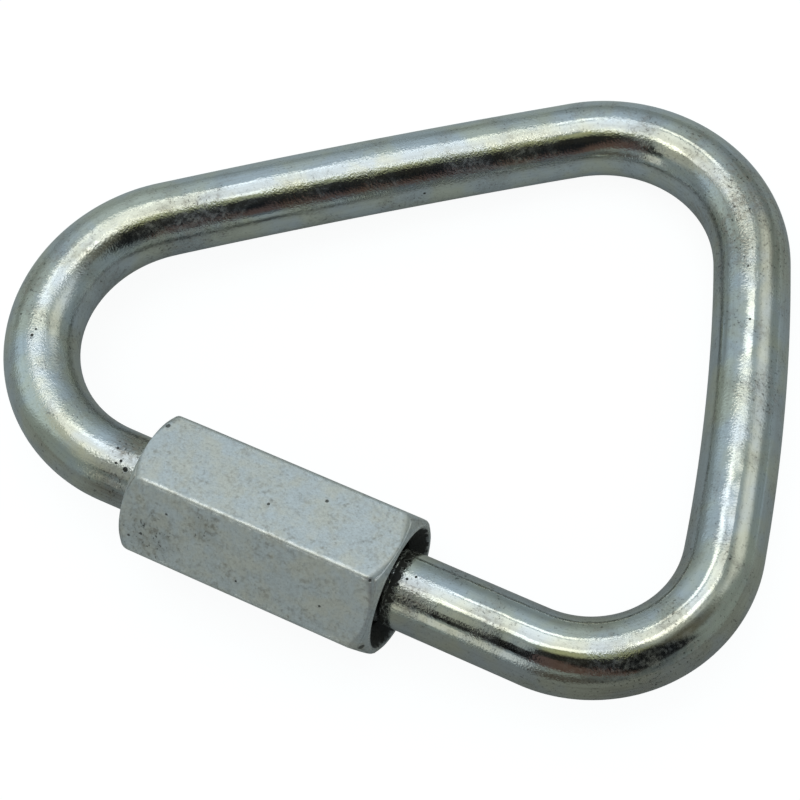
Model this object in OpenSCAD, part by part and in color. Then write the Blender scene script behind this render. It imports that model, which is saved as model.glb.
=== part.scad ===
// Delta quick link: a round steel rod bent to a rounded triangle, left open in
// one side, and a hexagonal sleeve nut that screws across the gap to close it.
// Lengths are in millimetres and angles in degrees. X runs along the nut's axis,
// from the apex bend to the near bend. The closed link lies as it comes to rest
// on level ground, on the nut's lowest corner and the far bend, with the origin
// under the middle of its box.

/* [Rod] */
// Diameter of the rod
rod_d = 7.8; // [7.7:0.05:8.4]
// Bend radius of the rod's centreline at the narrow end, beside the closed nut
apex_bend_r = 15.3; // [12:0.1:19]
// Bend radius of the rod's centreline at the other end of the nut's side
near_bend_r = 13; // [10:0.1:17]
// Bend radius of the rod's centreline at the corner across from the nut
far_bend_r = 15.3; // [11:0.1:20]
// Spacing of the centres of the apex bend and the near bend
near_span = 46.2; // [45:0.1:50]
// Spacing of the centres of the apex bend and the far bend
far_span = 43.2; // [38:0.1:50]
// Spacing of the centres of the near bend and the far bend
short_span = 30.4; // [25:0.1:40]
// Radius of the slight crown that bending left in the long side without the nut
far_crown_r = 812; // [300:1:2000]
// Radius of the slight crown that bending left in the short side
short_crown_r = 203; // [120:1:600]
// Swelling of the rod's radius where it is bent
bend_swell = 0.02; // [0.01:0.005:0.05]

/* [Gate and thread] */
// Clear gap between the rod's two ends once the nut is screwed back
gate_gap = 8.25; // [6:0.05:9]
// How far the apex end of the rod reaches into the closed nut
plug_len = 3; // [2:0.05:3.75]
// Nominal diameter of the thread
thread_d = 8; // [7.9:0.05:8.1]
// Pitch of the thread
thread_pitch = 1.25; // [1:0.05:1.5]
// Running clearance on the radius between the rod's thread and the nut's
thread_clearance = 0.05; // [0.02:0.01:0.1]
// Chamfer on the tip of each threaded end
tip_chamfer = 0.7; // [0.3:0.05:1]

/* [Sleeve nut] */
// Length of the nut
nut_len = 27.4; // [26:0.05:29]
// Width across the nut's flats
nut_af = 14; // [13.5:0.05:15.5]
// Depth by which each of the nut's six corners is blunted
corner_blunting = 0.08; // [0.03:0.01:0.3]
// Straight rod left between the apex bend and the closed nut
nut_start = 4.6; // [2:0.05:6.5]
// Turn of the nut's lowest corner from the link's underside towards the far bend
nut_turn = 21.1; // [0:0.1:60]
// How far the flat ring on the apex end lies inside the flats
apex_face_inset = 0.05; // [0.05:0.05:0.8]
// Slope of the outside chamfer on the apex end, up from the ring's plane
apex_chamfer_angle = 45; // [20:1:55]
// How far the flat ring on the near end lies inside the flats
near_face_inset = 0.45; // [0.1:0.05:0.8]
// Slope of the outside chamfer on the near end, up from the ring's plane
near_chamfer_angle = 37; // [20:1:50]
// Width of the flat ring round the countersunk mouth of the near end
mouth_rim = 0.2; // [0.1:0.05:1]
// Clearance on the radius between the counterbore and the plain rod
counterbore_clearance = 0.9; // [0.4:0.05:1.3]
// How deep in the closed nut's mouth the rod's thread has run out
runout_cover = 0.2; // [0.1:0.05:1]
// How far the closed nut's apex end covers the full rod diameter
seat_cover = 0.2; // [0.1:0.05:0.5]
// Gap between the rod's shoulder and the countersink that closes over it
seat_gap = 0.15; // [0.1:0.01:0.3]

/* [Hidden] */

// Fineness of round shapes: about this long a facet, at the radius that it is on
$fa = 0.05;
$fs = 0.5;

// Overrun of the nut's bar past the ends that the turned profile gives it
overrun = 1;
// How far a side of the rod reaches into the swollen bend that it meets
bite = 0.3;
// Depth of a metric thread's pitch line below its crest, as a share of the pitch
pitch_line_share = 0.6495 / 2;

rod_r = rod_d / 2;
bend_rod_r = rod_r + bend_swell;

// Both threads are plain at the pitch line, where their flanks bear on each other
rod_thread_r = thread_d / 2 - pitch_line_share * thread_pitch;
nut_thread_r = rod_thread_r + thread_clearance;
shoulder = rod_r - rod_thread_r;

// The nut leaves the apex end and clears the gap in one travel. Its counterbore
// is as deep as that, so that it covers the near end's thread when it is closed,
// and the rest of its length is thread
travel = plug_len + gate_gap;
counterbore_len = travel + shoulder + runout_cover;
nut_thread_len = nut_len - counterbore_len;
near_tip_x = nut_start + travel;
near_thread_end_x = near_tip_x + nut_thread_len;

// Countersink of the nut's apex end, parallel to the rod's shoulder
seat_r = rod_r + seat_cover + seat_gap;
seat_depth = seat_r - nut_thread_r;

corner_r = nut_af / 2 / cos(30) - corner_blunting;
apex_face_r = nut_af / 2 - apex_face_inset;
near_face_r = nut_af / 2 - near_face_inset;
apex_chamfer_len = (corner_r - apex_face_r) * tan(apex_chamfer_angle);
near_chamfer_len = (corner_r - near_face_r) * tan(near_chamfer_angle);
mouth_r = near_face_r - mouth_rim;
counterbore_r = rod_r + counterbore_clearance;

// The link's own plane: the nut's axis is y = 0, and the apex bend meets the
// straight side at x = 0
apex_c = [0, apex_bend_r];
near_c = [sqrt(pow(near_span, 2) - pow(apex_bend_r - near_bend_r, 2)), near_bend_r];
far_c = meet(apex_c, far_span, near_c, short_span);
short_c = meet(near_c, short_crown_r - near_bend_r, far_c, short_crown_r - far_bend_r);
long_c = meet(far_c, far_crown_r - far_bend_r, apex_c, far_crown_r - apex_bend_r);

// Headings, seen from the bend centres, at which one curve hands over to the next
near_in = -90;
near_out = heading(short_c, near_c);
far_in = heading(short_c, far_c);
far_out = heading(long_c, far_c);
apex_in = heading(long_c, apex_c);
apex_out = 270;

// Lying pose. Each blunted corner has two edges, and the edge that meets the
// ground first sets the tilt about the nut's axis
blunt_half_angle = 30 - acos(nut_af / 2 / corner_r);
edge_turns = [for (corner = [-60, 0, 60, 120, 180, 240], side = [-1, 1])
    nut_turn + corner + side * blunt_half_angle];
far_reach = far_c.y + far_bend_r;
rest_tilt = max([for (turn = edge_turns) tilt_on(turn)]);
axis_h = far_reach * sin(rest_tilt) + bend_rod_r;

// Middle of the lying link's box
box_x = [-apex_bend_r - bend_rod_r, near_c.x + near_bend_r + bend_rod_r];
box_y = [corner_r * min([for (turn = edge_turns) sin(turn - rest_tilt)]),
    far_reach * cos(rest_tilt) + bend_rod_r];
mid_x = (box_x[0] + box_x[1]) / 2;
mid_y = (box_y[0] + box_y[1]) / 2;

// Point at distance a_r from a and b_r from b, to the left of the way from a to b
function meet(a, a_r, b, b_r) =
    let (gap = norm(b - a),
        way = (b - a) / gap,
        along = (pow(a_r, 2) - pow(b_r, 2) + pow(gap, 2)) / (2 * gap),
        aside = sqrt(pow(a_r, 2) - pow(along, 2)))
    a + along * way + aside * [-way.y, way.x];

// Heading of point b seen from point a, from 0 up to 360
function heading(a, b) = (atan2(b.y - a.y, b.x - a.x) + 360) % 360;

// Tilt at which a nut edge, turned this far from straight down, and the far bend
// stand on the same ground; an edge that stays above the rod gives none
function tilt_on(turn) =
    let (drop = corner_r * cos(turn),
        reach = far_reach - corner_r * sin(turn))
    drop > bend_rod_r ? acos(bend_rod_r / norm([drop, reach])) - atan2(reach, drop) : 0;

// Puts a shape from the link's own plane into the lying pose
module lie() {
    translate([-mid_x, -mid_y, axis_h])
        rotate([-rest_tilt, 0, 0])
            children();
}

// Turns a profile of [radius, distance along X] points round the nut's axis
module turned(profile) {
    rotate([0, 90, 0])
        rotate_extrude()
            polygon(profile);
}

// Stretch of rod along an arc, counterclockwise between two headings, and past
// them by a reach at each end
module rod_arc(centre, line_r, from, to, section_r, reach = 0) {
    spare = reach / line_r * 180 / PI;
    translate([centre.x, centre.y, 0])
        rotate([0, 0, from - spare])
            rotate_extrude(angle = to - from + 2 * spare)
                translate([line_r, 0])
                    circle(section_r);
}

module bend(centre, line_r, from, to) {
    rod_arc(centre, line_r, from, to, bend_rod_r);
}

module crowned_side(centre, line_r, from, to) {
    rod_arc(centre, line_r, from, to, rod_r, bite);
}

// Straight end of the rod: full diameter, then a shoulder and a threaded tip
module threaded_end(full_len, end_len) {
    turned([
        [0, -bite],
        [rod_r, -bite],
        [rod_r, full_len],
        [rod_thread_r, full_len + shoulder],
        [rod_thread_r, end_len - tip_chamfer],
        [rod_thread_r - tip_chamfer, end_len],
        [0, end_len]
    ]);
}

// One piece of rod: two threaded ends, three bends and the two sides between them
module bent_rod() {
    color([0.72, 0.74, 0.74])
        lie() {
            threaded_end(nut_start + seat_cover, nut_start + plug_len);
            bend(apex_c, apex_bend_r, apex_in, apex_out);
            crowned_side(long_c, far_crown_r, far_out, apex_in);
            bend(far_c, far_bend_r, far_in, far_out);
            crowned_side(short_c, short_crown_r, near_out, far_in);
            bend(near_c, near_bend_r, near_in, near_out);
            translate([near_c.x, 0, 0])
                mirror([1, 0, 0])
                    threaded_end(near_c.x - near_thread_end_x - shoulder, near_c.x - near_tip_x);
        }
}

// Outside of the nut: a hexagonal bar
module nut_bar() {
    rotate([nut_turn, 0, 0])
        rotate([0, 90, 0])
            translate([0, 0, -overrun])
                cylinder(h = nut_len + 2 * overrun, d = nut_af / cos(30), $fn = 6);
}

// Profile of one end's outside, from its flat ring up to the corners' cylinder. The
// chamfer is a zone of a ball, so it is crowned a little over its straight slope
module chamfered_end(face_r, chamfer_len) {
    ball_x = (pow(corner_r, 2) - pow(face_r, 2) + pow(chamfer_len, 2)) / (2 * chamfer_len);
    intersection() {
        square([corner_r, chamfer_len + overrun]);
        translate([0, ball_x])
            circle(norm([face_r, ball_x]));
    }
}

// Profile of the hole through the nut: the seat at the apex end, the thread's bore,
// and the counterbore with its wide mouth
module bore_profile() {
    polygon([
        [0, -overrun],
        [seat_r + overrun, -overrun],
        [nut_thread_r, seat_depth],
        [nut_thread_r, nut_thread_len],
        [counterbore_r, nut_thread_len + counterbore_r - nut_thread_r],
        [counterbore_r, nut_len - (mouth_r - counterbore_r)],
        [mouth_r + overrun, nut_len + overrun],
        [0, nut_len + overrun]
    ]);
}

// What the lathe leaves of the bar: chamfered ends, blunted corners and the hole
module nut_turning() {
    rotate([0, 90, 0])
        rotate_extrude()
            difference() {
                union() {
                    chamfered_end(apex_face_r, apex_chamfer_len);
                    translate([0, apex_chamfer_len + overrun / 2])
                        square([corner_r, nut_len - apex_chamfer_len - near_chamfer_len - overrun]);
                    translate([0, nut_len])
                        mirror([0, 1])
                            chamfered_end(near_face_r, near_chamfer_len);
                }
                bore_profile();
            }
}

module sleeve_nut() {
    color([0.64, 0.67, 0.66])
        lie()
            translate([nut_start, 0, 0])
                intersection() {
                    nut_bar();
                    nut_turning();
                }
}

bent_rod();
sleeve_nut();
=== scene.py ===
"""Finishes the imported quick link: a bent rod and a sleeve nut in worn zinc plate, in a pale studio."""

from math import acos, atan2, ceil, cos, floor, hypot, pi, radians, sin, sqrt, tan
from types import SimpleNamespace

import bmesh
import bpy
from bpy.props import FloatProperty, FloatVectorProperty, PointerProperty
from mathutils import Matrix, Vector


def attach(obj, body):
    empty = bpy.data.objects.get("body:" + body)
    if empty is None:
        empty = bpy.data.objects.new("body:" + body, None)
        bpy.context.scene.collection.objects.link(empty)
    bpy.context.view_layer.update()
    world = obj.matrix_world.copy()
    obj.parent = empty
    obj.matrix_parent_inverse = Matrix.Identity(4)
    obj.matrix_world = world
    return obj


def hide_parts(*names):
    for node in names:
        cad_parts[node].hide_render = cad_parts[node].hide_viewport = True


bl_info = {
    "name": "Quick Link",
    "version": (1, 0, 0),
    "blender": (4, 5, 0),
    "location": "3D View > Sidebar > Quick Link",
    "description": "Builds a delta quick link in worn zinc plate, and a pale studio round it",
    "category": "Add Mesh",
}

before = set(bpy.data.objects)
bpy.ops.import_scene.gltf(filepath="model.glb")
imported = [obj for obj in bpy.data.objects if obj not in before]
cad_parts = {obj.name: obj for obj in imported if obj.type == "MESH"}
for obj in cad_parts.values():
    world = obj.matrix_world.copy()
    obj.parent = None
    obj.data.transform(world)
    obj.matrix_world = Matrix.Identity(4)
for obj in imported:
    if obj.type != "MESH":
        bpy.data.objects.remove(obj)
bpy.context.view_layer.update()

MM = 0.001
# Points nearer than this are made one
PIECE_WELD = 0.0004 * MM

# A 60 degree thread: its flank's lean, and the radius's depth below the nominal one at the pitch
# line, the rod's root and the nut's crest, as shares of the pitch
FLANK = radians(30)
PITCH_LINE_SHARE = 0.6495 / 2
ROD_ROOT_SHARE = 0.6134
NUT_CREST_SHARE = 0.5413


def linear(code):
    """An sRGB hex value as linear red, green and blue."""
    parts = (int(code[i : i + 2], 16) / 255 for i in (1, 3, 5))
    return tuple(c / 12.92 if c <= 0.04045 else ((c + 0.055) / 1.055) ** 2.4 for c in parts)


def length(name, description, value, low=0.0):
    """A size property, in metres, from a value in millimetres."""
    return FloatProperty(
        name=name, description=description, default=value * MM, min=low, unit="LENGTH", precision=5
    )


def colour(name, description, code):
    """A colour property, from an sRGB hex value."""
    return FloatVectorProperty(
        name=name, description=description, default=linear(code), min=0, max=1, subtype="COLOR"
    )


class RodSizes(bpy.types.PropertyGroup):
    """Sizes of the bent rod."""

    diameter: length("Rod diameter", "Diameter of the drawn rod", 7.8)
    bend_swell: length("Bend swell", "Growth of the rod's radius where it is bent", 0.02)
    apex_bend: length("Apex bend radius", "Centreline radius at the narrow end", 15.3)
    near_bend: length("Near bend radius", "Centreline radius at the nut side's other end", 13.0)
    far_bend: length("Far bend radius", "Centreline radius across from the nut", 15.3)
    near_span: length("Near span", "Spacing of the apex and near bends' centres", 46.2)
    far_span: length("Far span", "Spacing of the apex and far bends' centres", 43.2)
    short_span: length("Short span", "Spacing of the near and far bends' centres", 30.4)
    far_crown: length("Far crown radius", "Slight curve of the long side without the nut", 812)
    short_crown: length("Short crown radius", "Slight curve of the short side", 203)
    gate_gap: length("Gate gap", "Clear gap between the rod's two ends", 8.25)
    plug: length("Plug length", "Reach of the apex end into the closed nut", 3.0)
    tip_chamfer: length("Tip chamfer", "Chamfer on the tip of each threaded end", 0.7)


class ThreadSizes(bpy.types.PropertyGroup):
    """Sizes of the thread that the rod's ends and the nut share."""

    diameter: length("Thread diameter", "Nominal diameter of the thread", 8.0)
    pitch: length("Thread pitch", "Advance of the nut in one turn", 1.25)
    clearance: length("Thread clearance", "Play on the radius between the two flanks", 0.05)


class NutSizes(bpy.types.PropertyGroup):
    """Sizes of the sleeve nut."""

    long: length("Nut length", "Length of the nut", 27.4)
    across_flats: length("Across flats", "Width across the nut's flats", 14.0)
    corner_blunting: length("Corner blunting", "Depth by which each corner is blunted", 0.08)
    start: length("Nut start", "Straight rod between the apex bend and the closed nut", 4.6)
    turn: FloatProperty(
        name="Nut turn",
        description="Turn of the lowest corner from the underside towards the far bend",
        default=radians(21.1),
        subtype="ANGLE",
    )
    apex_inset: length("Apex ring inset", "Inset of the apex end's ring from the flats", 0.05)
    near_inset: length("Near ring inset", "Inset of the near end's ring from the flats", 0.45)
    apex_slope: FloatProperty(
        name="Apex chamfer slope",
        description="Slope of the apex end's chamfer from its ring",
        default=radians(45),
        subtype="ANGLE",
    )
    near_slope: FloatProperty(
        name="Near chamfer slope",
        description="Slope of the near end's chamfer from its ring",
        default=radians(37),
        subtype="ANGLE",
    )
    mouth_rim: length("Mouth rim", "Width of the ring round the near end's mouth", 0.2)
    counterbore_gap: length("Counterbore gap", "Play on the radius round the plain rod", 0.9)
    runout_cover: length("Run-out cover", "Depth at which the near end's thread is hidden", 0.2)
    seat_cover: length("Seat cover", "Full rod diameter covered by the apex end", 0.2)
    seat_gap: length("Seat gap", "Gap between the shoulder and its countersink", 0.15)
    edge_round: length("Edge rounding", "Radius that tumbling and plating left on the edges", 0.12)
    corner_round: length("Corner rounding", "Radius where the chamfers run into the bar's corners", 1.2)


class FinishColours(bpy.types.PropertyGroup):
    """Colours of the plating, its dirt and wear with the painted shade and highlight laid in them, and
    the studio.
    """

    rod_cool: colour("Rod, cool", "Bluish passivated zinc on the rod", "#CDD4D8")
    rod_warm: colour("Rod, warm", "Yellowish passivated zinc on the rod", "#D6D7C8")
    nut_cool: colour("Nut, cool", "Bluish passivated zinc on the nut", "#C6CDCF")
    nut_warm: colour("Nut, warm", "Yellow-green passivated zinc on the nut", "#CBCCC4")
    # Worn edge is also a painted highlight along the nut's corners and mouth rim
    worn_and_highlight: colour("Worn edge", "Zinc brightened by handling", "#E4E6E2")
    film: colour("Film", "Grey film of white rust and dust", "#84857C")
    rust: colour("Stain", "Brown stain where the plating is thin", "#6E6454")
    speck: colour("Speck", "Dark oxide in the plating's pores", "#2E2D28")
    # Grime is also painted shade in the nut's bore and mouth and on the rod where it enters the nut
    grime_and_shade: colour("Grime", "Black thread oil and dirt", "#14130D")
    floor: colour("Floor", "Pale floor that the link lies on", "#A9B1B1")
    floor_shade: colour("Floor, shaded", "The floor on the side away from the lamps", "#7C7E79")
    backdrop: colour("Backdrop", "White that the camera sees round the link", "#FFFFFF")


# ---------------------------------------------------------------- the link's plan


def meet(a, a_r, b, b_r):
    """The point at distance a_r from a and b_r from b, to the left of the way from a to b."""
    way = b - a
    gap = way.length
    way /= gap
    along = (a_r**2 - b_r**2 + gap**2) / (2 * gap)
    aside = sqrt(a_r**2 - along**2)
    return a + along * way + aside * Vector((-way.y, way.x))


def heading(a, b):
    """Heading of point b seen from point a, from 0 up to a full turn."""
    return atan2(b.y - a.y, b.x - a.x) % (2 * pi)


def link_plan(scene):
    """Every derived size, in the link's own plane.

    The nut's axis is y = 0, and x = 0 is where it leaves the apex bend.
    """
    rod, thread, nut = scene.link_rod, scene.link_thread, scene.link_nut
    p = SimpleNamespace()
    p.rod_r = rod.diameter / 2
    p.bend_r = p.rod_r + rod.bend_swell

    # Pitch line and root of the rod's thread; pitch line, crest and root of the nut's
    p.pitch = thread.pitch
    nominal_r = thread.diameter / 2
    p.rod_pitch_r = nominal_r - PITCH_LINE_SHARE * thread.pitch
    p.rod_root_r = nominal_r - ROD_ROOT_SHARE * thread.pitch
    p.nut_pitch_r = p.rod_pitch_r + thread.clearance
    p.nut_crest_r = nominal_r - NUT_CREST_SHARE * thread.pitch
    p.nut_root_r = nominal_r
    p.shoulder = p.rod_r - p.rod_pitch_r

    # The nut leaves the apex end and clears the gap in one travel
    p.travel = rod.plug + rod.gate_gap
    p.nut_start = nut.start
    p.counterbore = p.travel + p.shoulder + nut.runout_cover
    p.thread_end = nut.long - p.counterbore
    p.near_tip = nut.start + p.travel
    p.near_plain = p.near_tip + p.thread_end + p.shoulder
    p.apex_plain = nut.start + nut.seat_cover
    p.apex_tip = nut.start + rod.plug

    p.half_flats = nut.across_flats / 2
    p.half_side = radians(30)
    p.corner_r = p.half_flats / cos(p.half_side) - nut.corner_blunting
    p.fillet = nut.corner_blunting / (1 / cos(p.half_side) - 1)
    p.apex_face_r = p.half_flats - nut.apex_inset
    p.near_face_r = p.half_flats - nut.near_inset
    p.mouth_r = p.near_face_r - nut.mouth_rim
    p.bore_r = p.rod_r + nut.counterbore_gap
    p.seat_r = p.rod_r + nut.seat_cover + nut.seat_gap

    p.apex_c = Vector((0, rod.apex_bend))
    p.near_c = Vector((sqrt(rod.near_span**2 - (rod.apex_bend - rod.near_bend) ** 2), rod.near_bend))
    p.far_c = meet(p.apex_c, rod.far_span, p.near_c, rod.short_span)
    p.short_c = meet(p.near_c, rod.short_crown - rod.near_bend, p.far_c, rod.short_crown - rod.far_bend)
    p.long_c = meet(p.far_c, rod.far_crown - rod.far_bend, p.apex_c, rod.far_crown - rod.apex_bend)
    p.near_out = heading(p.short_c, p.near_c)
    p.far_in = heading(p.short_c, p.far_c)
    p.far_out = heading(p.long_c, p.far_c)
    p.apex_in = heading(p.long_c, p.apex_c)

    # Lying pose, on the nut's lowest edge and the far bend
    half_edge = p.half_side - acos(p.half_flats / p.corner_r)
    turns = [
        nut.turn + radians(corner) + side * half_edge
        for corner in range(-60, 300, 60)
        for side in (-1, 1)
    ]
    far_reach = p.far_c.y + rod.far_bend

    def tilt_on(turn):
        drop, reach = p.corner_r * cos(turn), far_reach - p.corner_r * sin(turn)
        return acos(p.bend_r / hypot(drop, reach)) - atan2(reach, drop) if drop > p.bend_r else 0

    tilt = max(tilt_on(turn) for turn in turns)
    low_y = p.corner_r * min(sin(turn - tilt) for turn in turns)
    high_y = far_reach * cos(tilt) + p.bend_r
    p.mid_x = (p.near_c.x + rod.near_bend - rod.apex_bend) / 2
    p.lie = Matrix.Translation(
        (-p.mid_x, -(low_y + high_y) / 2, far_reach * sin(tilt) + p.bend_r)
    ) @ Matrix.Rotation(-tilt, 4, "X")
    return p


# ---------------------------------------------------------------- mesh helpers


def skin(name, points, faces, layers, uvs=None):
    """A smooth mesh object, with double points welded and its faces turned outwards."""
    mesh = bpy.data.meshes.new(name)
    mesh.from_pydata(points, [], faces)
    if uvs:
        layer = mesh.uv_layers.new(name="along the rod")
        for polygon in mesh.polygons:
            for loop, place in zip(polygon.loop_indices, uvs(polygon.vertices)):
                layer.data[loop].uv = place
    for title, values in layers.items():
        mesh.attributes.new(title, "FLOAT", "POINT").data.foreach_set("value", values)
    work = bmesh.new()
    work.from_mesh(mesh)
    bmesh.ops.remove_doubles(work, verts=work.verts, dist=PIECE_WELD)
    bmesh.ops.dissolve_degenerate(work, edges=work.edges, dist=PIECE_WELD)
    bmesh.ops.recalc_face_normals(work, faces=work.faces)
    work.to_mesh(mesh)
    work.free()
    mesh.shade_smooth()
    piece = bpy.data.objects.new(name, mesh)
    bpy.context.scene.collection.objects.link(piece)
    return piece


def strip(rows):
    """Quads between neighbouring closed rows of point numbers."""
    faces = []
    for one, two in zip(rows, rows[1:]):
        for j in range(len(one)):
            k = (j + 1) % len(one)
            faces.append((one[j], one[k], two[k], two[j]))
    return faces


def thread_steps(pitch, pitch_r, crest_r, root_r):
    """Axial offsets from a crest's middle, over one pitch, at which a thread's profile has points.

    Points stand to either side of the crest's and the root's edge, so that the edges stay crisp.
    """
    crest = pitch / 4 - abs(crest_r - pitch_r) * tan(FLANK)
    root = pitch / 4 + abs(root_r - pitch_r) * tan(FLANK)
    half = [0, crest * 0.75, crest * 1.12, pitch / 4, root * 0.94, root * 1.06]
    return half + [pitch / 2] + [pitch - step for step in reversed(half[1:])]


def thread_radius(offset, pitch, pitch_r, crest_r, root_r):
    """Radius of a thread at an axial offset from a crest's middle."""
    offset = (offset + pitch / 2) % pitch - pitch / 2
    rise = (pitch / 4 - abs(offset)) / tan(FLANK)
    if crest_r > root_r:
        return min(max(pitch_r + rise, root_r), crest_r)
    return max(min(pitch_r - rise, root_r), crest_r)


def helix(angles, start, end, lead, steps, radius_at):
    """Points (x, angle, radius) and quads of a right-handed thread from x = start to x = end."""
    count, rows = len(angles), len(steps)
    first, last = floor(start / lead) - 2, ceil(end / lead) + 1
    points = []
    for turn in range(first, last + 1):
        for angle in angles:
            crest = lead * (turn + angle / (2 * pi))
            for step in steps:
                x = min(max(crest + step, start), end)
                points.append((x, angle, radius_at(x, x - crest)))
    faces = []
    for k in range(len(points) // rows - count):
        for row in range(rows):
            after = (k * rows + row + 1) if row + 1 < rows else (k + count) * rows
            next_after = ((k + 1) * rows + row + 1) if row + 1 < rows else (k + 1 + count) * rows
            face = (k * rows + row, (k + 1) * rows + row, next_after, after)
            if max(face) < len(points) and len({points[i] for i in face}) > 2:
                faces.append(face)
    return points, faces


def rounded(before, corner, after, radius, steps=4):
    """Points of the arc that rounds a profile's corner, shortened where its sides are short."""
    a, b = before - corner, after - corner
    short = min(a.length, b.length)
    a.normalize()
    b.normalize()
    half = acos(max(-1, min(1, a.dot(b)))) / 2
    longest_share = 0.42
    run = min(radius / tan(half), longest_share * short)
    centre = corner + (a + b).normalized() * run / cos(half)
    first, last = corner + a * run - centre, corner + b * run - centre
    sweep = pi - 2 * half
    return [
        centre + (first * sin(sweep * (1 - t)) + last * sin(sweep * t)) / sin(sweep)
        for t in (i / steps for i in range(steps + 1))
    ]


# ---------------------------------------------------------------- materials

RAYS = ("Camera", "Glossy", "Transmission")


def node(tree, kind, inputs=None, out=0, **settings):
    """Adds one shader node with its settings, values and links, and gives one of its outputs."""
    new = tree.nodes.new("ShaderNode" + kind)
    for name, value in settings.items():
        setattr(new, name, value)
    for key, value in (inputs or {}).items():
        if isinstance(value, bpy.types.NodeSocket):
            tree.links.new(value, new.inputs[key])
        else:
            new.inputs[key].default_value = value
    return new.outputs[out] if new.outputs else None


def finish_tree(name):
    """A new material and its empty tree."""
    material = bpy.data.materials.new(name)
    material.use_nodes = True
    material.node_tree.nodes.clear()
    return material, material.node_tree


def patches(tree, rows):
    """Smooth-edged patches of noise, by name.

    A row gives where, size in mm, detail, and the heights at which a patch starts and is full.
    """
    made = {}
    for name, where, size, detail, low, high in rows:
        inputs = {"Vector": where, "Scale": 1 / (size * MM), "Detail": detail, "Roughness": 0.58}
        inputs = {"Value": node(tree, "TexNoise", inputs), "From Min": low, "From Max": high}
        made[name] = node(tree, "MapRange", inputs, interpolation_type="SMOOTHSTEP")
    return made


def layered(tree, base, layers):
    """A colour with further colours laid over it, each by an amount and a greatest cover."""
    for amount, cover, colour in layers:
        amount = node(tree, "Math", {0: amount, 1: cover}, operation="MULTIPLY")
        base = node(tree, "Mix", {0: amount, 6: base, 7: (*colour, 1)}, 2, data_type="RGBA")
    return base


def dots(tree, place, spots, core=0.6):
    """Round marks at given places: each a position and a radius in mm, solid within a share of it."""
    found = None
    outer = 1.1
    for x, y, z, size in spots:
        centre = (x * MM, y * MM, z * MM)
        gap = node(tree, "VectorMath", {0: place, 1: centre}, "Value", operation="DISTANCE")
        edge = {"From Min": core * size * MM, "From Max": outer * size * MM}
        edge = {"Value": gap, **edge, "To Min": 1.0, "To Max": 0.0}
        dot = node(tree, "MapRange", edge, interpolation_type="SMOOTHSTEP")
        found = node(tree, "Math", {0: found, 1: dot}, operation="MAXIMUM") if found else dot
    return found


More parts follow.
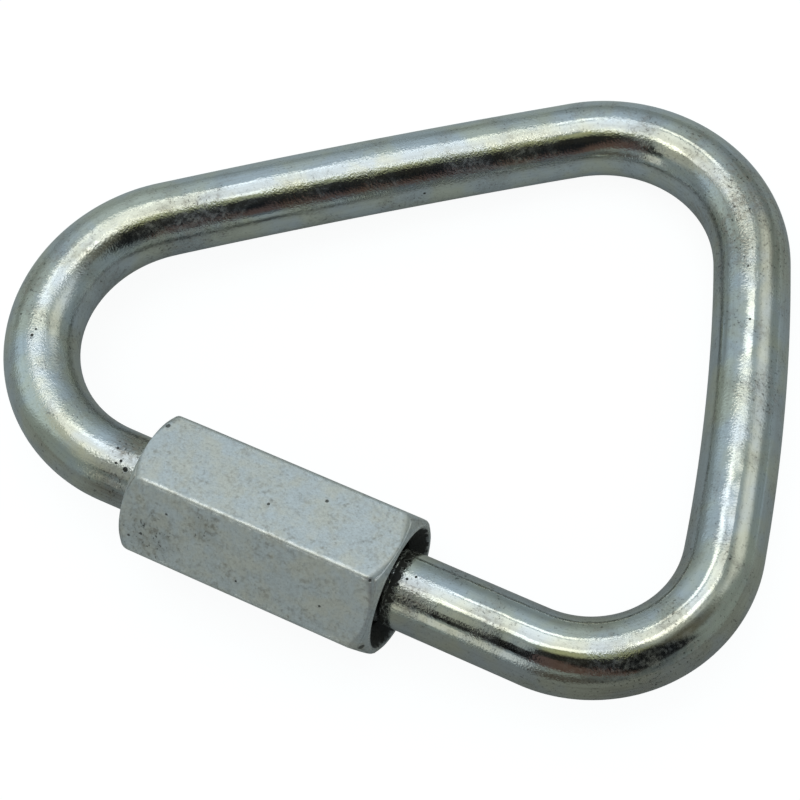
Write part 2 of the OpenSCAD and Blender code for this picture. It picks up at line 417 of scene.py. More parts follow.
def bright_zinc_on_drawn_rod(colours):
    """Bright zinc plate, clear passivated, on cold-drawn and bent steel rod.

    It is nearly a mirror along the rod, broken by the grain of the plate, by pores that hold dark
    oxide, by lines from the drawing die and by a faint blue and yellow tint of the passivation.
    The grain and pores are really finer than a pixel, and are drawn coarse enough to show.
    """
    material, tree = finish_tree("bright zinc on drawn rod")
    place = node(tree, "TexCoord", None, "Object")
    along = node(tree, "UVMap", uv_map="along the rod")
    drawn = node(tree, "Mapping", {"Vector": along, "Scale": (1.0, 0.05, 1.0)})
    grime_and_shade = node(tree, "Attribute", None, "Fac", attribute_name="grime_and_shade")

    found = patches(
        tree,
        (
            ("tint", place, 6.0, 3, 0.38, 0.64),
            ("film", place, 5.0, 6, 0.44, 0.70),
            ("dust", place, 0.50, 4, 0.42, 0.70),
            ("pores", place, 0.28, 2, 0.58, 0.72),
            ("lines", drawn, 0.30, 3, 0.40, 0.75),
            ("ragged", place, 0.7, 5, 0.30, 0.70),
            ("waves", place, 5.0, 2, 0.0, 1.0),
            ("grain", place, 0.22, 2, 0.0, 1.0),
            ("peel", place, 0.60, 2, 0.0, 1.0),
            ("coarse", place, 7.0, 3, 0.42, 0.60),
            ("satin", place, 1.2, 4, 0.30, 0.70),
        ),
    )
    # The bends, where stretching has raised an orange peel
    peel = dots(tree, place, ((-37, -12, 8, 27), (-8, 15, 6, 20)), 0.3)
    # The rod by the nut's ends, and the two bends' outer sides, are soiled brown
    soiled = dots(
        tree,
        place,
        (
            (-20.6, -28.6, 9.8, 3.4),
            (-20.2, -24.6, 11.4, 2.6),
            (12.0, -27.6, 11.0, 2.4),
            (31.0, 30.0, 2.0, 19.0),
            (40.0, -30.0, 2.0, 17.0),
        ),
        0.1,
    )
    pores = node(tree, "Math", {0: found["film"], 1: soiled}, operation="ADD")
    pores = node(tree, "Math", {0: pores, 1: 0.30}, operation="ADD")
    pores = node(tree, "Math", {0: pores, 1: found["pores"]}, operation="MULTIPLY", use_clamp=True)
    dust = node(tree, "Math", {0: found["film"], 1: soiled}, operation="ADD")
    dust = node(tree, "Math", {0: dust, 1: found["dust"]}, operation="MULTIPLY", use_clamp=True)
    lines = node(tree, "Math", {0: soiled, 1: 0.75, 2: 0.25}, operation="MULTIPLY_ADD")
    lines = node(tree, "Math", {0: lines, 1: found["lines"]}, operation="MULTIPLY")
    # Black grime with painted shade where the rod enters the nut's mouth and seat, with a ragged edge
    dirt_and_shade = node(tree, "Math", {0: found["ragged"], 1: 0.8, 2: -0.4}, operation="MULTIPLY_ADD")
    dirt_and_shade = node(tree, "Math", {0: dirt_and_shade, 1: grime_and_shade}, operation="ADD")
    dirt_and_shade = {"Value": dirt_and_shade, "From Min": 0.42, "From Max": 0.62}
    dirt_and_shade = node(tree, "MapRange", dirt_and_shade, interpolation_type="SMOOTHSTEP")
    tint = {0: found["tint"], 6: (*colours.rod_cool, 1), 7: (*colours.rod_warm, 1)}
    tint = node(tree, "Mix", tint, 2, data_type="RGBA")
    pits = dots(
        tree,
        place,
        (
            (-19.25, -27.29, 11.42, 0.27),
            (-20.04, -26.69, 11.55, 0.15),
            (-20.43, -27.06, 11.48, 0.13),
            (-21.00, -25.60, 11.54, 0.13),
            (11.20, -26.15, 11.58, 0.13),
            (11.88, -25.61, 11.54, 0.12),
            (-35.46, -18.16, 11.07, 0.17),
            (-35.44, -17.39, 11.02, 0.12),
            (-37.97, -16.38, 10.55, 0.11),
            (-7.46, 14.56, 5.85, 0.15),
            (27.18, 18.53, 8.55, 0.11),
            (29.71, 12.97, 8.97, 0.12),
        ),
    )
    base = layered(
        tree,
        tint,
        (
            (found["film"], 0.38, colours.film),
            (lines, 0.50, colours.rust),
            (soiled, 0.42, colours.rust),
            (dust, 0.50, colours.rust),
            (pores, 0.75, colours.speck),
            (pits, 0.92, colours.grime_and_shade),
            (dirt_and_shade, 0.96, colours.grime_and_shade),
        ),
    )
    coarse = node(tree, "Math", {0: found["coarse"], 1: 0.80, 2: 0.15}, operation="MULTIPLY_ADD")
    coarse = node(tree, "Math", {0: peel, 1: 0.55, 2: coarse}, operation="MULTIPLY_ADD")
    grain = node(tree, "Math", {0: found["grain"], 1: coarse}, operation="MULTIPLY")
    orange = node(tree, "Math", {0: found["peel"], 1: peel}, operation="MULTIPLY")
    # Heights over each other, with their depths in mm
    normal = node(tree, "Bump", {"Height": found["waves"], "Distance": 0.040 * MM, "Strength": 1.0})
    for height, depth in ((found["lines"], 0.0008), (orange, 0.010), (grain, 0.018), (pits, -0.10)):
        inputs = {"Height": height, "Distance": depth * MM, "Strength": 1.0, "Normal": normal}
        normal = node(tree, "Bump", inputs)
    rough = node(tree, "MapRange", {"Value": found["satin"], "To Min": 0.06, "To Max": 0.10})
    rough = node(tree, "Math", {0: coarse, 1: 0.03, 2: rough}, operation="MULTIPLY_ADD")
    rough = node(tree, "Math", {0: dirt_and_shade, 1: 0.30, 2: rough}, operation="MULTIPLY_ADD")
    # The dirt with its painted shade is matt
    shine = node(tree, "Math", {0: dirt_and_shade, 1: -0.35, 2: 0.5}, operation="MULTIPLY_ADD")
    # Dust and the plate's white film are no metal, so they show in the dark reflections too
    veil = node(tree, "Math", {0: found["film"], 1: -0.05, 2: 1.0}, operation="MULTIPLY_ADD")
    veil = node(tree, "Math", {0: dust, 1: -0.35, 2: veil}, operation="MULTIPLY_ADD")
    metal = node(tree, "Math", {0: veil, 1: dirt_and_shade}, operation="SUBTRACT", use_clamp=True)
    finish = {"Base Color": base, "Metallic": metal, "Roughness": rough, "Normal": normal}
    shader = node(tree, "BsdfPrincipled", {**finish, "Specular IOR Level": shine})
    node(tree, "OutputMaterial", {"Surface": shader})
    return material


def dull_zinc_on_turned_bar(colours):
    """Dull zinc plate on a nut turned from cold-drawn hexagonal bar.

    Its flats are satin, cloudy with blue and yellow-green passivation and brown-grey stain, with
    fine dark specks; handling has brightened the corners and the mouth's rim, which are painted
    lighter still as a highlight, and oil has blackened the bore and mouth, which are painted darker
    still as their shade. The grain and specks are really finer than a pixel, and are drawn coarse
    enough to show.
    """
    material, tree = finish_tree("dull zinc on turned bar")
    place = node(tree, "TexCoord", None, "Object")
    wear_and_highlight = node(tree, "Attribute", None, "Fac", attribute_name="wear_and_highlight")
    grime_and_shade = node(tree, "Attribute", None, "Fac", attribute_name="grime_and_shade")
    found = patches(
        tree,
        (
            ("tint", place, 2.2, 5, 0.36, 0.66),
            ("cloud", place, 3.0, 5, 0.36, 0.68),
            ("stain", place, 0.5, 5, 0.45, 0.72),
            ("speckle", place, 0.28, 3, 0.42, 0.72),
            ("pores", place, 0.32, 2, 0.58, 0.74),
            ("ragged", place, 0.6, 5, 0.30, 0.70),
            ("waves", place, 3.0, 2, 0.0, 1.0),
            ("grain", place, 0.20, 2, 0.0, 1.0),
            ("satin", place, 1.0, 4, 0.30, 0.70),
        ),
    )
    pits = dots(
        tree,
        place,
        (
            (-16.62, -22.17, 13.95, 0.27),
            (-3.45, -25.65, 14.74, 0.16),
            (1.37, -22.93, 14.12, 0.18),
            (-12.43, -30.32, 13.54, 0.14),
            (-15.90, -32.97, 10.66, 0.15),
            (-14.67, -32.48, 11.19, 0.16),
            (-3.98, -32.89, 10.75, 0.13),
            (4.82, -32.04, 11.67, 0.13),
            (9.58, -33.34, 8.98, 0.40),
            (9.02, -28.72, 15.16, 0.22),
        ),
    )
    # Where the plating is most stained: the lower flat, thickest by the seat
    soiled = dots(tree, place, ((-13.8, -32.4, 11.3, 3.6), (-8.5, -30.0, 13.6, 2.2)), 0.1)
    stain = node(tree, "Math", {0: found["cloud"], 1: soiled}, operation="ADD", use_clamp=True)
    specks = node(tree, "Math", {0: soiled, 1: 1.0, 2: 0.3}, operation="MULTIPLY_ADD")
    specks = node(tree, "Math", {0: specks, 1: found["pores"]}, operation="MULTIPLY")
    stain = node(tree, "Math", {0: stain, 1: found["stain"]}, operation="MULTIPLY")
    edges = {}
    # Worn corners and rim, painted lighter as a highlight too, and grime with painted shade in the bore
    # and mouth, each with a ragged edge
    for name, amount, shake, low, high in (
        ("worn_and_highlight", wear_and_highlight, 0.7, 0.60, 1.05),
        ("dirt_and_shade", grime_and_shade, 0.3, 0.35, 0.75),
    ):
        jitter = node(tree, "Math", {0: found["ragged"], 1: shake, 2: amount}, operation="MULTIPLY_ADD")
        reach = {"Value": jitter, "From Min": low + shake / 2, "From Max": high + shake / 2}
        edges[name] = node(tree, "MapRange", reach, interpolation_type="SMOOTHSTEP")
    tint = {0: found["tint"], 6: (*colours.nut_cool, 1), 7: (*colours.nut_warm, 1)}
    tint = node(tree, "Mix", tint, 2, data_type="RGBA")
    base = layered(
        tree,
        tint,
        (
            (found["speckle"], 0.24, colours.film),
            (soiled, 0.25, colours.film),
            (stain, 0.52, colours.rust),
            (edges["worn_and_highlight"], 0.55, colours.worn_and_highlight),
            (specks, 0.75, colours.speck),
            (pits, 0.80, colours.speck),
            (edges["dirt_and_shade"], 0.95, colours.grime_and_shade),
        ),
    )
    # Caked oil, painted black with the bore's shade, is lumpier than the plate
    grain = node(tree, "Math", {0: edges["dirt_and_shade"], 1: 4.0, 2: 1.0}, operation="MULTIPLY_ADD")
    grain = node(tree, "Math", {0: grain, 1: found["grain"]}, operation="MULTIPLY")
    # Heights over each other, with their depths in mm
    normal = node(tree, "Bump", {"Height": found["waves"], "Distance": 0.030 * MM, "Strength": 1.0})
    for height, depth in ((grain, 0.012), (pits, -0.08)):
        inputs = {"Height": height, "Distance": depth * MM, "Strength": 1.0, "Normal": normal}
        normal = node(tree, "Bump", inputs)
    rough = node(tree, "MapRange", {"Value": found["satin"], "To Min": 0.32, "To Max": 0.42})
    rough = node(tree, "Math", {0: edges["worn_and_highlight"], 1: -0.12, 2: rough}, operation="MULTIPLY_ADD")
    rough = node(tree, "Math", {0: edges["dirt_and_shade"], 1: 0.12, 2: rough}, operation="MULTIPLY_ADD")
    shine = node(tree, "Math", {0: edges["dirt_and_shade"], 1: -0.35, 2: 0.5}, operation="MULTIPLY_ADD")
    # The dull plate's white film is no metal, nor is the caked oil with its painted shade
    metal = node(tree, "Math", {0: edges["dirt_and_shade"], 1: -0.74, 2: 0.74}, operation="MULTIPLY_ADD")
    finish = {"Base Color": base, "Metallic": metal, "Roughness": rough, "Normal": normal}
    shader = node(tree, "BsdfPrincipled", {**finish, "Specular IOR Level": shine})
    node(tree, "OutputMaterial", {"Surface": shader})
    return material


def pale_studio_card(colours):
    """Matt pale card: white to the camera but for the link's soft shadow, and grey in the metal."""
    glow, shadow_share, mirrored_share = 0.92, 0.3, 0.05
    fade_way, fade_reach = (-0.4, 0.9, 0.0), 45 * MM
    material, tree = finish_tree("pale studio card")
    # The lamps stand over the far side, so the floor is darker in front
    place = node(tree, "TexCoord", None, "Object")
    place = node(tree, "VectorMath", {0: place, 1: fade_way}, "Value", operation="DOT_PRODUCT")
    place = node(tree, "MapRange", {"Value": place, "From Min": -fade_reach, "From Max": fade_reach})
    shade = {0: place, 6: (*colours.floor_shade, 1), 7: (*colours.floor, 1)}
    card = node(tree, "BsdfDiffuse", {"Color": node(tree, "Mix", shade, 2, data_type="RGBA")})
    dim = node(tree, "BsdfDiffuse", {"Color": (*(shadow_share * c for c in colours.floor), 1)})
    white = node(tree, "Emission", {"Color": (*colours.backdrop, 1), "Strength": glow})
    lit = node(tree, "AddShader", {0: white, 1: dim})
    direct, glossy, through = (node(tree, "LightPath", None, f"Is {ray} Ray") for ray in RAYS)
    mirrored = node(tree, "Math", {0: glossy, 1: through}, operation="ADD")
    seen = {0: mirrored, 1: mirrored_share, 2: direct}
    seen = node(tree, "Math", seen, operation="MULTIPLY_ADD", use_clamp=True)
    mix = node(tree, "MixShader", {0: seen, 1: card, 2: lit})
    node(tree, "OutputMaterial", {"Surface": mix})
    return material


# ---------------------------------------------------------------- operators


class LINK_OT_bent_rod(bpy.types.Operator):
    """Builds the bent rod with its two threaded ends."""

    bl_idname = "quick_link.bent_rod"
    bl_label = "Bent Rod"

    def execute(self, context):
        p = link_plan(context.scene)
        rod = context.scene.link_rod
        around, straight_step, bend_step = 96, 0.5 * MM, 0.35 * MM
        angles = [2 * pi * j / around for j in range(around)]

        # Stations of the centreline, counterclockwise from the near end's thread to the apex end's
        stations = []

        def straight(x_from, x_to):
            count = ceil((x_to - x_from) / straight_step)
            for i in range(count + 1):
                stations.append((Vector((x_from + (x_to - x_from) * i / count, 0)), 0.0, p.rod_r))

        def arc(centre, line_r, start, end, tube_r):
            count = ceil(line_r * (end - start) / bend_step)
            for i in range(1, count + 1):
                a = start + (end - start) * i / count
                spot = centre + line_r * Vector((cos(a), sin(a)))
                stations.append((spot, a + pi / 2, tube_r))

        straight(p.near_plain, p.near_c.x)
        arc(p.near_c, rod.near_bend, -pi / 2, p.near_out, p.bend_r)
        arc(p.short_c, rod.short_crown, p.near_out, p.far_in, p.rod_r)
        arc(p.far_c, rod.far_bend, p.far_in, p.far_out, p.bend_r)
        arc(p.long_c, rod.far_crown, p.far_out, p.apex_in, p.rod_r)
        arc(p.apex_c, rod.apex_bend, p.apex_in, 1.5 * pi, p.bend_r)
        # The last straight starts with the bend's last station
        stations.pop()
        straight(0.0, p.apex_plain)

        # The swelling of the bends fades over a few stations
        fade = 4
        radii = [station[2] for station in stations]
        for i in range(fade, len(radii) - fade):
            window = stations[i - fade : i + fade + 1]
            radii[i] = sum(station[2] for station in window) / len(window)

        points, places, rows = [], [], []
        run = 0.0
        for number, (spot, way, _) in enumerate(stations):
            if number:
                run += (spot - stations[number - 1][0]).length
            inward = Vector((-sin(way), cos(way), 0))
            rows.append(range(len(points), len(points) + around))
            for angle in angles:
                out = inward * cos(angle) + Vector((0, 0, sin(angle)))
                points.append(Vector((*spot, 0)) + radii[number] * out)
                places.append((angle, run))
        faces = strip(rows)

        # Threaded ends, with a shoulder up to the full diameter and a chamfered tip
        shape = (p.pitch, p.rod_pitch_r, p.rod_r, p.rod_root_r)
        steps = thread_steps(*shape)
        tip_r = p.rod_pitch_r - rod.tip_chamfer
        ends = (
            (p.near_tip, p.near_plain, p.near_tip, p.near_plain, 0.0),
            (p.apex_plain, p.apex_tip, p.apex_tip, p.apex_plain, run),
        )
        for start, end, tip, plain, reach in ends:

            def end_radius(x, offset, tip=tip, plain=plain):
                cut = thread_radius(offset, *shape)
                return min(max(cut, p.rod_r - abs(x - plain)), tip_r + abs(x - tip))

            helix_points, helix_faces = helix(angles, start, end, p.pitch, steps, end_radius)
            base = len(points)
            for x, angle, radius in helix_points:
                points.append(Vector((x, radius * cos(angle), radius * sin(angle))))
                places.append((angle, reach + x - plain))
            faces += [tuple(base + i for i in face) for face in helix_faces]
            base = len(points)
            for angle in angles:
                points.append(Vector((tip, tip_r * cos(angle), tip_r * sin(angle))))
                places.append((angle, reach + tip - plain))
            points.append(Vector((tip, 0, 0)))
            places.append((0.0, reach + tip - plain))
            middle = len(points) - 1
            faces += [(base + j, base + (j + 1) % around, middle) for j in range(around)]

        def uv(corners):
            """Metres round and along the rod, unrolled over the seam."""
            turned = [places[i][0] for i in corners]
            wraps = max(turned) - min(turned) > pi
            return [
                ((a + (2 * pi if wraps and a < pi else 0)) * p.rod_r, places[i][1])
                for a, i in zip(turned, corners)
            ]

        # Grime with painted shade inside the nut and a little past its mouth and seat, and on the
        # threads, where the crests and tips are rubbed cleaner than the roots
        mouth = p.nut_start + context.scene.link_nut.long
        mouth_cover, mouth_fade, seat_fade = 0.3 * MM, 1.4 * MM, 1.2 * MM
        crest_share, root_share = 0.45, 0.95
        reach_back, play = 2 * MM, 0.02 * MM
        nut_line_r = p.bend_r + 0.1 * MM
        grime_and_shade = []
        for point in points:
            radius = hypot(point.y, point.z)
            if radius > nut_line_r or point.x < -reach_back:
                grime_and_shade.append(0.0)
                continue
            from_mouth = (point.x - mouth + mouth_cover) / mouth_fade
            from_seat = (p.nut_start - point.x) / seat_fade
            amount = max(0.0, 1 - max(from_mouth, from_seat, 0.0))
            if p.apex_plain < point.x < p.near_plain:
                sunk = (p.rod_r - radius) / (p.rod_r - p.rod_root_r) if radius > tip_r + play else 0.0
                amount *= crest_share + (root_share - crest_share) * min(sunk, 1.0)
            grime_and_shade.append(amount)
        piece = skin("drawn_rod", [p.lie @ point for point in points], faces, {"grime_and_shade": grime_and_shade}, uv)
        piece.data.materials.append(bright_zinc_on_drawn_rod(context.scene.link_colours))
        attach(piece, "link")
        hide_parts("bent_rod")
        return {"FINISHED"}


class LINK_OT_sleeve_nut(bpy.types.Operator):
    """Builds the hexagonal sleeve nut with its thread, counterbore and wide mouth."""

    bl_idname = "quick_link.sleeve_nut"
    bl_label = "Sleeve Nut"

    def execute(self, context):
        p = link_plan(context.scene)
        nut = context.scene.link_nut
        long = nut.long

        # Section of the bar: six flats joined by small fillets, as polar directions and radii
        arc_steps, flat_steps, beside_corner = 8, 10, 0.02
        centre_r = (p.half_flats - p.fillet) / cos(p.half_side)
        inner_shares = [i / flat_steps for i in range(1, flat_steps)]

        def on_corner(corner, share):
            """Point of a corner's fillet, at a share of its arc."""
            a = p.half_side * (2 * share - 1)
            spot = Vector((centre_r + p.fillet * cos(a), p.fillet * sin(a)))
            return Matrix.Rotation(2 * p.half_side * corner, 2) @ spot

        section = []
        for corner in range(6):
            section += [on_corner(corner, i / arc_steps) for i in range(arc_steps + 1)]
            start, end = on_corner(corner, 1), on_corner(corner + 1, 0)
            for share in [beside_corner, *inner_shares, 1 - beside_corner]:
                section.append(start.lerp(end, share))
        angles = sorted(atan2(s.y, s.x) % (2 * pi) for s in section)
        reach = {atan2(s.y, s.x) % (2 * pi): s.length for s in section}

        def chamfer(face_r, slope):
            """Distance from the end plane at which the end's ball zone has a radius."""
            run = (p.corner_r - face_r) * tan(slope)
            ball_x = (p.corner_r**2 - face_r**2 + run**2) / (2 * run)
            ball_r = hypot(face_r, ball_x)
            return lambda r: ball_x - sqrt(ball_r**2 - r**2)

        apex_zone = chamfer(p.apex_face_r, nut.apex_slope)
        near_zone = chamfer(p.near_face_r, nut.near_slope)
        bore_start = p.thread_end + p.bore_r - p.nut_pitch_r
        bore_end = long - (p.mouth_r - p.bore_r)

        # The mouth's narrow ring is tumbled to one round rim between the chamfer and the countersink
        rim_round, rim_steps, countersink = nut.mouth_rim * 1.4, 7, radians(45)
        rim = Vector((long - rim_round, (p.near_face_r + p.mouth_r) / 2))
        rim_shares = [i / rim_steps for i in range(rim_steps + 1)]
        rim_turns = [nut.near_slope * (1 - share) - countersink * share for share in rim_shares]

        zone_shares, beside_end = (0.3, 0.5, 0.7), 0.006

        def profile(side_r):
            """Points (x, radius) from the seat's edge round the outside to the counterbore's foot."""
            seat = Vector((0, p.seat_r))
            apex_ring = Vector((0, p.apex_face_r))
            apex_edge = Vector((apex_zone(side_r), side_r))
            near_edge = Vector((long - near_zone(side_r), side_r))
            near_ring = Vector((long, p.near_face_r))
            bore = Vector((bore_end, p.bore_r))
            foot = Vector((bore_start, p.bore_r))
            fine = nut.edge_round
            line = [seat, seat.lerp(apex_ring, 0.5)]
            line += rounded(seat, apex_ring, apex_edge, fine, 3)
            zone = [p.apex_face_r + (side_r - p.apex_face_r) * share for share in zone_shares]
            line += [Vector((apex_zone(r), r)) for r in zone]
            apex_round = rounded(apex_ring, apex_edge, near_edge, nut.corner_round, 6)
            near_round = rounded(apex_edge, near_edge, near_ring, nut.corner_round, 6)
            x_from, x_to = apex_round[-1].x, near_round[0].x
            shares = [beside_end, *(i / 9 for i in range(1, 9)), 1 - beside_end]
            line += apex_round
            line += [Vector((x_from + (x_to - x_from) * share, side_r)) for share in shares]
            line += near_round
            zone = [side_r + (p.near_face_r - side_r) * share for share in zone_shares]
            line += [Vector((long - near_zone(r), r)) for r in zone]
            line += [rim + rim_round * Vector((cos(a), sin(a))) for a in rim_turns]
            line += [line[-1].lerp(bore, share) for share in (0.35, 0.7)]
            line += rounded(line[-1], bore, foot, fine, 3)
            line += [bore.lerp(foot, share) for share in (0.25, 0.5, 0.75)]
            return line + [foot]

        # Grid of profiles round the bar, then the thread between the counterbore and the seat
        columns = [profile(reach[angle]) for angle in angles]
        depth = len(columns[0])
        polar = []
        for angle, column in zip(angles, columns):
            polar += [(spot.x, angle, spot.y) for spot in column]
        rows = [[j * depth + i for j in range(len(angles))] for i in range(depth)]
        faces = strip(rows)

        shape = (p.pitch, p.nut_pitch_r, p.nut_crest_r, p.nut_root_r)
        # The nut's crests run in the rod's roots: half a pitch on, and the axial place of the
        # closed nut on the rod counts too, because both threads share one helix
        shift = (p.nut_start + p.pitch / 2) % p.pitch
        onto_bar = radians(-90) + nut.turn

        def bore_radius(x, offset):
            cut = thread_radius(offset, *shape)
            return max(cut, p.seat_r - (x - shift), p.bore_r - (bore_start - (x - shift)))

        turned = [angle + onto_bar for angle in angles]
        helix_points, helix_faces = helix(
            turned, shift, bore_start + shift, p.pitch, thread_steps(*shape), bore_radius
        )
        base = len(polar)
        polar += [(x - shift, angle - onto_bar, radius) for x, angle, radius in helix_points]
        faces += [tuple(base + i for i in face) for face in helix_faces]

        # Worn corners and mouth's rim, also painted lighter as a highlight, and grime with painted shade
        # inside, where the thread's crests are cleaner
        wear_and_highlight, grime_and_shade = [], []
        flat_share, rim_peak = 0.55, 1.15
        flat_edge = p.half_flats + flat_share * (p.corner_r - p.half_flats)
        rim_from_end, rim_reach, rim_band = 0.04 * MM, 0.10 * MM, 0.10 * MM
        seat_cover, play, grime_fade = 0.3 * MM, 0.02 * MM, 0.20 * MM
        for x, _, r in polar:
            corner = (r - flat_edge) / (p.corner_r - flat_edge)
            rim_wear_and_highlight = rim_peak - abs(x - long + rim_from_end) / rim_reach
            worn_and_highlight = max(corner, rim_wear_and_highlight if r < p.near_face_r + rim_band else 0.0, 0.0)
            wear_and_highlight.append(min(1.0, worn_and_highlight) ** 2)
            inside_r = p.mouth_r if x > long / 2 else p.seat_r + seat_cover
            inside = min(1.0, max((inside_r + play - r) / grime_fade, 0.0))
            sunk = (r - p.nut_crest_r) / (p.nut_root_r - p.nut_crest_r)
            grime_and_shade.append(inside * (1 + min(max(sunk, 0.0), 1.0)) / 2)

        points = [
            p.lie @ Vector((p.nut_start + x, r * cos(a + onto_bar), r * sin(a + onto_bar)))
            for x, a, r in polar
        ]
        piece = skin("turned_nut", points, faces, {"wear_and_highlight": wear_and_highlight, "grime_and_shade": grime_and_shade})
        piece.data.materials.append(dull_zinc_on_turned_bar(context.scene.link_colours))
        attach(piece, "nut")
        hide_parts("sleeve_nut")
        return {"FINISHED"}


class LINK_OT_studio(bpy.types.Operator):
    """Sets the pale floor, the soft lamps, the room round them and the camera."""

    bl_idname = "quick_link.studio"
    bl_label = "Studio"

    def execute(self, context):
        scene = context.scene
        colours = scene.link_colours

        east, north = 0.6, 0.6
        corners = [(-east, -north, 0), (east, -north, 0), (east, north, 0), (-east, north, 0)]
        mesh = bpy.data.meshes.new("floor")
        mesh.from_pydata(corners, [], [(0, 1, 2, 3)])
        ground = bpy.data.objects.new("floor", mesh)
        scene.collection.objects.link(ground)
        mesh.materials.append(pale_studio_card(colours))

        def aim(east, north, spin):
            """Turns straight up to a lean towards +X and +Y in degrees, after a spin about it."""
            turns = ((-north, "X"), (east, "Y"), (spin, "Z"))
            made = Matrix()
            for angle, axis in turns:
                made @= Matrix.Rotation(radians(angle), 4, axis)
            return made

        # Soft rectangular lamps that face the link: a panel with a brighter tube on three sides.
        # Lean east and north from overhead, spin, distance, half width and half height, radiance
        # and colour, with the angles in degrees
        for name, east, north, spin, distance, wide, high, radiance, tone in (
            ("overhead panel", -11, 10.5, 23, 0.80, 24, 13.5, 0.76, "#FCFAF7"),
            ("far tube", -20, 26, 29, 0.90, 19, 2.5, 1.30, "#FFFFFC"),
            ("near tube", -7, -5.5, 17, 0.78, 15, 3.8, 1.32, "#FFFFF8"),
            ("east tube", 11, 14, 100, 0.76, 9, 4.5, 1.02, "#FFFFFC"),
        ):
            data = bpy.data.lights.new(name, "AREA")
            data.shape = "RECTANGLE"
            data.size, data.size_y = (2 * distance * tan(radians(half)) for half in (wide, high))
            data.energy = radiance * pi * data.size * data.size_y
            data.color = linear(tone)
            thing = bpy.data.objects.new(name, data)
            thing.matrix_world = aim(east, north, spin) @ Matrix.Translation((0, 0, distance))
            scene.collection.objects.link(thing)

        world = bpy.data.worlds.new("studio room")
        scene.world = world
        world.use_nodes = True
        tree = world.node_tree
        tree.nodes.clear()
        way = node(tree, "TexCoord", None, "Generated")

        # The room as the metal mirrors it, as soft-edged cards over a grey: lean east and north,
        # spin, half width and height and softness in degrees, colour. The last two are the dark
        # gap that draws a black line along the rod beside the nut.
        daylight, wall_grey = linear("#D2DCE0"), linear("#8A9594")
        room = (*wall_grey, 1)
        for east, north, spin, wide, high, soft, tone in (
            (-25, 38, 0, 34, 26, 38, "#BCCBD2"),
            (-55, -10, 0, 18, 18, 18, "#CCDEE4"),
            (-28, -12, 0, 13, 11, 14, "#C8CEC6"),
            (-23, -30, 0, 11, 14, 12, "#B4B8AE"),
            (17, 12, 0, 8, 10, 10, "#C6CCC6"),
            (20, -85, 0, 28, 14, 14, "#504C46"),
            (-14.5, -70.5, 0, 6, 10, 5, "#DCE0D8"),
            (26, 45, -28, 18, 13, 16, "#E6ECE8"),
            (46, -62, 0, 22, 22, 24, "#5E6668"),
            (20.5, -43.5, -6, 28, 18, 5, "#5C4B46"),
            (36, 2, 0, 14, 12, 16, "#64645A"),
            (34, -28, -20, 24, 18.5, 7, "#16181A"),
            (9.5, -25, -6, 18, 9, 3, "#262623"),
            (6, -10, 10, 14, 6, 8, "#A8AC88"),
            (-9.3, -43.5, 0, 3.7, 10.5, 1.5, "#141414"),
            (-14.5, -48.5, 0, 4, 4.5, 4, "#0C0C0C"),
        ):
            turned = {"Vector": way, "Rotation": (radians(north), radians(-east), radians(-spin))}
            facing = node(tree, "Mapping", turned, vector_type="POINT")
            card = node(tree, "VectorMath", {0: facing}, operation="ABSOLUTE")
            outer = (sin(radians(wide + soft / 2)), sin(radians(high + soft / 2)), -1)
            inner = (sin(radians(max(wide - soft / 2, 0))), sin(radians(max(high - soft / 2, 0))), 0)
            soft_edge = {"data_type": "FLOAT_VECTOR", "interpolation_type": "SMOOTHSTEP"}
            faded = node(tree, "MapRange", {6: card, 7: outer, 8: inner}, 1, **soft_edge)
            sides = [node(tree, "SeparateXYZ", {0: faded}, side) for side in "XY"]
            cover = node(tree, "Math", dict(enumerate(sides)), operation="MULTIPLY")
            # Without this a card would also show on the far side of the room
            ahead = node(tree, "SeparateXYZ", {0: facing}, "Z")
            ahead = node(tree, "Math", {0: ahead, 1: 0.0}, operation="GREATER_THAN")
            cover = node(tree, "Math", {0: cover, 1: ahead}, operation="MULTIPLY")
            inputs = {0: cover, 6: room, 7: (*linear(tone), 1)}
            room = node(tree, "Mix", inputs, 2, data_type="RGBA")
        plain = node(tree, "Background", {"Color": (*daylight, 1)})
        mirrored = node(tree, "Background", {"Color": room})
        white = node(tree, "Background", {"Color": (*colours.backdrop, 1)})
        direct, glossy, through = (node(tree, "LightPath", None, f"Is {ray} Ray") for ray in RAYS)
        lit = node(tree, "MixShader", {0: glossy, 1: plain, 2: mirrored})
        seen = node(tree, "Math", {0: direct, 1: through}, operation="ADD")
        mix = node(tree, "MixShader", {0: seen, 1: lit, 2: white})
        node(tree, "OutputWorld", {"Surface": mix})

        # Set to show the link as the photo does
        data = bpy.data.cameras.new("camera")
        data.sensor_width = 36
        data.lens = 102.5
        data.clip_start = 0.01
        camera = bpy.data.objects.new("camera", data)
        camera.location = (62.25 * MM, -81.62 * MM, 214.32 * MM)
        camera.rotation_euler = (radians(24.033), radians(6.156), radians(26.292))
        scene.collection.objects.link(camera)
        scene.camera = camera
        scene.view_settings.view_transform = "Standard"
        return {"FINISHED"}


class LINK_PT_build(bpy.types.Panel):
    """Sizes, colours and building steps of the quick link."""

    bl_label = "Quick Link"
    bl_space_type = "VIEW_3D"
    bl_region_type = "UI"
    bl_category = "Quick Link"

    def draw(self, context):
        for name, group in GROUPS.items():
            box = self.layout.box()
            for size in group.__annotations__:
                box.prop(getattr(context.scene, name), size)
        for step in STEPS:
            self.layout.operator(step.bl_idname)


GROUPS = {
    "link_rod": RodSizes,
    "link_thread": ThreadSizes,
    "link_nut": NutSizes,
    "link_colours": FinishColours,
}
STEPS = (LINK_OT_bent_rod, LINK_OT_sleeve_nut, LINK_OT_studio)


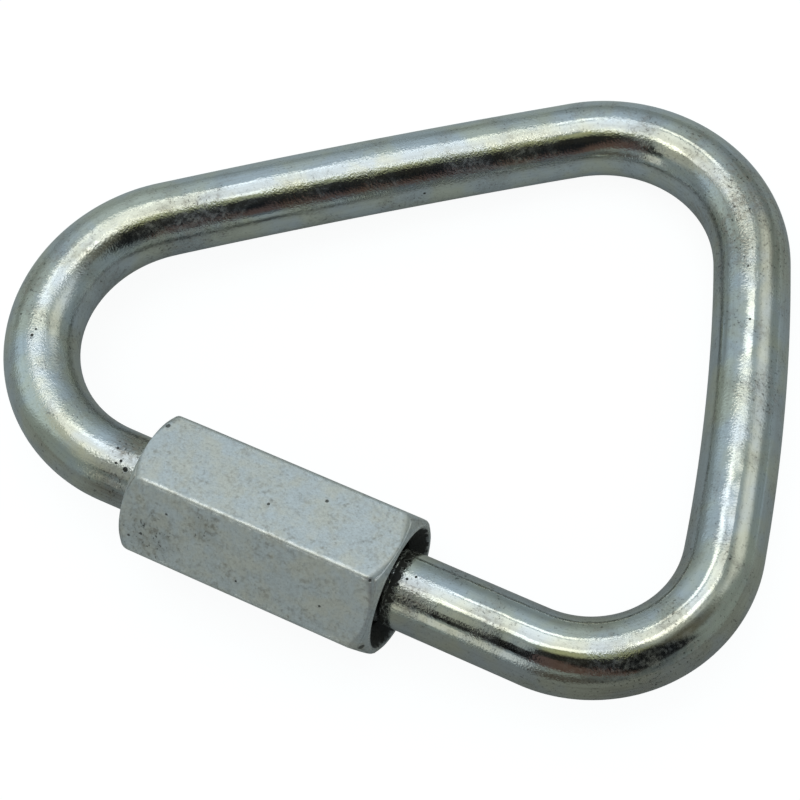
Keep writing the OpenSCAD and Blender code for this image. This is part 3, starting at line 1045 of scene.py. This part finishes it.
def register():
    for name, group in GROUPS.items():
        bpy.utils.register_class(group)
        setattr(bpy.types.Scene, name, PointerProperty(type=group))
    for item in (*STEPS, LINK_PT_build):
        bpy.utils.register_class(item)


def unregister():
    for item in (LINK_PT_build, *reversed(STEPS)):
        bpy.utils.unregister_class(item)
    for name, group in reversed(GROUPS.items()):
        delattr(bpy.types.Scene, name)
        bpy.utils.unregister_class(group)


def main():
    register()
    bpy.ops.quick_link.bent_rod()
    bpy.ops.quick_link.sleeve_nut()
    bpy.ops.quick_link.studio()


if __name__ == "__main__":
    main()
